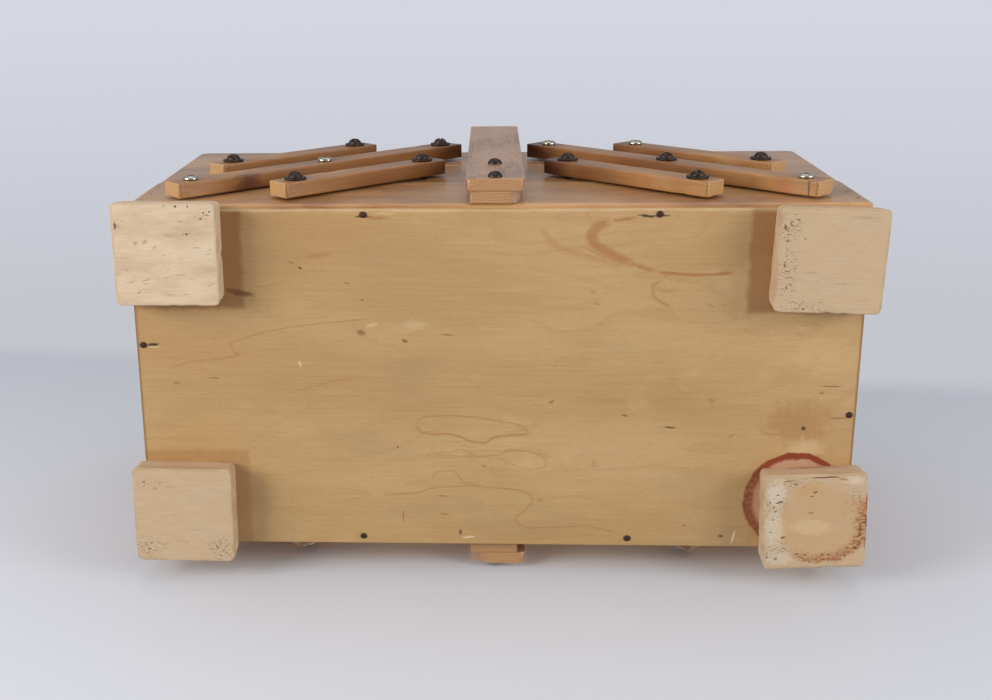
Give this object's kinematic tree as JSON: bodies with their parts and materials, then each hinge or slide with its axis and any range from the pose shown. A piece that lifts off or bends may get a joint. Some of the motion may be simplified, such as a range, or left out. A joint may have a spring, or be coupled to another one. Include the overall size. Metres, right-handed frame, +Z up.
{
  "type": "cantilever sewing box",
  "caption": "Wooden sewing box: a deep base tray on feet, with paired middle and lidded top trays that spread sideways on wooden arms under a rod handle.",
  "frame": {"origin": "middle of the closed box's footprint, on the plane that the feet stand on", "axes": "+X to the right, the way the right trays spread; +Y to the back linkage; +Z up, towards the handle"},
  "size_m": [0.4086, 0.2308, 0.24],
  "materials": {
    "board": "varnished solid board, orange-tan, satin gloss",
    "plywood": "thin varnished plywood, warm tan with flat-sawn figure",
    "raw_beech": "bare pale beech, matte, with short flecks",
    "arm_wood": "varnished beech bar, orange-brown, satin gloss",
    "turned_wood": "varnished beech, satin gloss",
    "dark_steel": "oxidised dark steel, with some bright screws"
  },
  "bodies": {
    "base": {"base_front_wall": "board", "base_back_wall": "board", "base_left_wall": "board", "base_right_wall": "board", "bottom_plate": "plywood", "bottom_nails": "dark_steel", "base_corner_pins": "dark_steel", "foot_front_left": "raw_beech", "foot_front_right": "raw_beech", "foot_back_left": "raw_beech", "foot_back_right": "raw_beech", "front_post": "turned_wood", "back_post": "turned_wood", "post_spacers": "turned_wood", "post_screws": "dark_steel", "handle_rod": "turned_wood", "base_pivot_screws": "dark_steel", "base_pivot_washers": "dark_steel"},
    "left_long_arms": {"left_front_long_arm": "arm_wood", "left_back_long_arm": "arm_wood"},
    "left_lower_arms": {"left_front_lower_arm": "arm_wood", "left_back_lower_arm": "arm_wood"},
    "left_upper_arms": {"left_front_upper_arm": "arm_wood", "left_back_upper_arm": "arm_wood"},
    "left_mid_tray": {"left_mid_front_wall": "board", "left_mid_back_wall": "board", "left_mid_end_walls": "board", "left_mid_bottom": "plywood", "left_mid_pivot_screws": "dark_steel", "left_mid_pivot_washers": "dark_steel"},
    "left_top_tray": {"left_top_front_wall": "board", "left_top_back_wall": "board", "left_top_end_walls": "board", "left_top_bottom": "plywood", "left_top_pivot_screws": "dark_steel", "left_top_pivot_washers": "dark_steel", "left_lid_pins": "dark_steel"},
    "left_lid": {"left_lid": "plywood", "left_lid_knob": "turned_wood"},
    "right_long_arms": {"right_front_long_arm": "arm_wood", "right_back_long_arm": "arm_wood"},
    "right_lower_arms": {"right_front_lower_arm": "arm_wood", "right_back_lower_arm": "arm_wood"},
    "right_upper_arms": {"right_front_upper_arm": "arm_wood", "right_back_upper_arm": "arm_wood"},
    "right_mid_tray": {"right_mid_front_wall": "board", "right_mid_back_wall": "board", "right_mid_end_walls": "board", "right_mid_bottom": "plywood", "right_mid_pivot_screws": "dark_steel", "right_mid_pivot_washers": "dark_steel"},
    "right_top_tray": {"right_top_front_wall": "board", "right_top_back_wall": "board", "right_top_end_walls": "board", "right_top_bottom": "plywood", "right_top_pivot_screws": "dark_steel", "right_top_pivot_washers": "dark_steel", "right_lid_pins": "dark_steel"},
    "right_lid": {"right_lid": "plywood", "right_lid_knob": "turned_wood"}
  },
  "joints": [
    {"name": "left_spread", "type": "hinge", "parent": "base", "child": "left_long_arms", "pos_m": [-0.169, 0, 0.0458], "axis": [0, -1, 0], "range_deg": [0, 90.8]},
    {"name": "left_mid_level", "type": "hinge", "parent": "left_long_arms", "child": "left_mid_tray", "pos_m": [-0.102, 0, 0.1118], "axis": [0, -1, 0], "range_deg": [-90.8, 0]},
    {"name": "left_top_level", "type": "hinge", "parent": "left_long_arms", "child": "left_top_tray", "pos_m": [-0.035, 0, 0.1778], "axis": [0, -1, 0], "range_deg": [-90.8, 0]},
    {"name": "left_lower_swing", "type": "hinge", "parent": "base", "child": "left_lower_arms", "pos_m": [-0.1105, 0, 0.0458], "axis": [0, -1, 0], "range_deg": [0, 90.8]},
    {"name": "left_upper_swing", "type": "hinge", "parent": "left_mid_tray", "child": "left_upper_arms", "pos_m": [-0.1575, 0, 0.1118], "axis": [0, -1, 0], "range_deg": [0, 90.8]},
    {"name": "left_lid_hinge", "type": "hinge", "parent": "left_top_tray", "child": "left_lid", "pos_m": [-0.193, 0, 0.2118], "axis": [0, -1, 0], "range_deg": [0, 180]},
    {"name": "right_spread", "type": "hinge", "parent": "base", "child": "right_long_arms", "pos_m": [0.169, 0, 0.0458], "axis": [0, 1, 0], "range_deg": [0, 90.8]},
    {"name": "right_mid_level", "type": "hinge", "parent": "right_long_arms", "child": "right_mid_tray", "pos_m": [0.102, 0, 0.1118], "axis": [0, 1, 0], "range_deg": [-90.8, 0]},
    {"name": "right_top_level", "type": "hinge", "parent": "right_long_arms", "child": "right_top_tray", "pos_m": [0.035, 0, 0.1778], "axis": [0, 1, 0], "range_deg": [-90.8, 0]},
    {"name": "right_lower_swing", "type": "hinge", "parent": "base", "child": "right_lower_arms", "pos_m": [0.1105, 0, 0.0458], "axis": [0, 1, 0], "range_deg": [0, 90.8]},
    {"name": "right_upper_swing", "type": "hinge", "parent": "right_mid_tray", "child": "right_upper_arms", "pos_m": [0.1575, 0, 0.1118], "axis": [0, 1, 0], "range_deg": [0, 90.8]},
    {"name": "right_lid_hinge", "type": "hinge", "parent": "right_top_tray", "child": "right_lid", "pos_m": [0.193, 0, 0.2118], "axis": [0, 1, 0], "range_deg": [0, 180]}
  ],
  "couplings": [
    {"joint": "left_mid_level", "follows": "left_spread", "ratio": -1},
    {"joint": "left_top_level", "follows": "left_spread", "ratio": -1},
    {"joint": "left_lower_swing", "follows": "left_spread", "ratio": 1},
    {"joint": "left_upper_swing", "follows": "left_spread", "ratio": 1},
    {"joint": "right_mid_level", "follows": "right_spread", "ratio": -1},
    {"joint": "right_top_level", "follows": "right_spread", "ratio": -1},
    {"joint": "right_lower_swing", "follows": "right_spread", "ratio": 1},
    {"joint": "right_upper_swing", "follows": "right_spread", "ratio": 1}
  ]
}
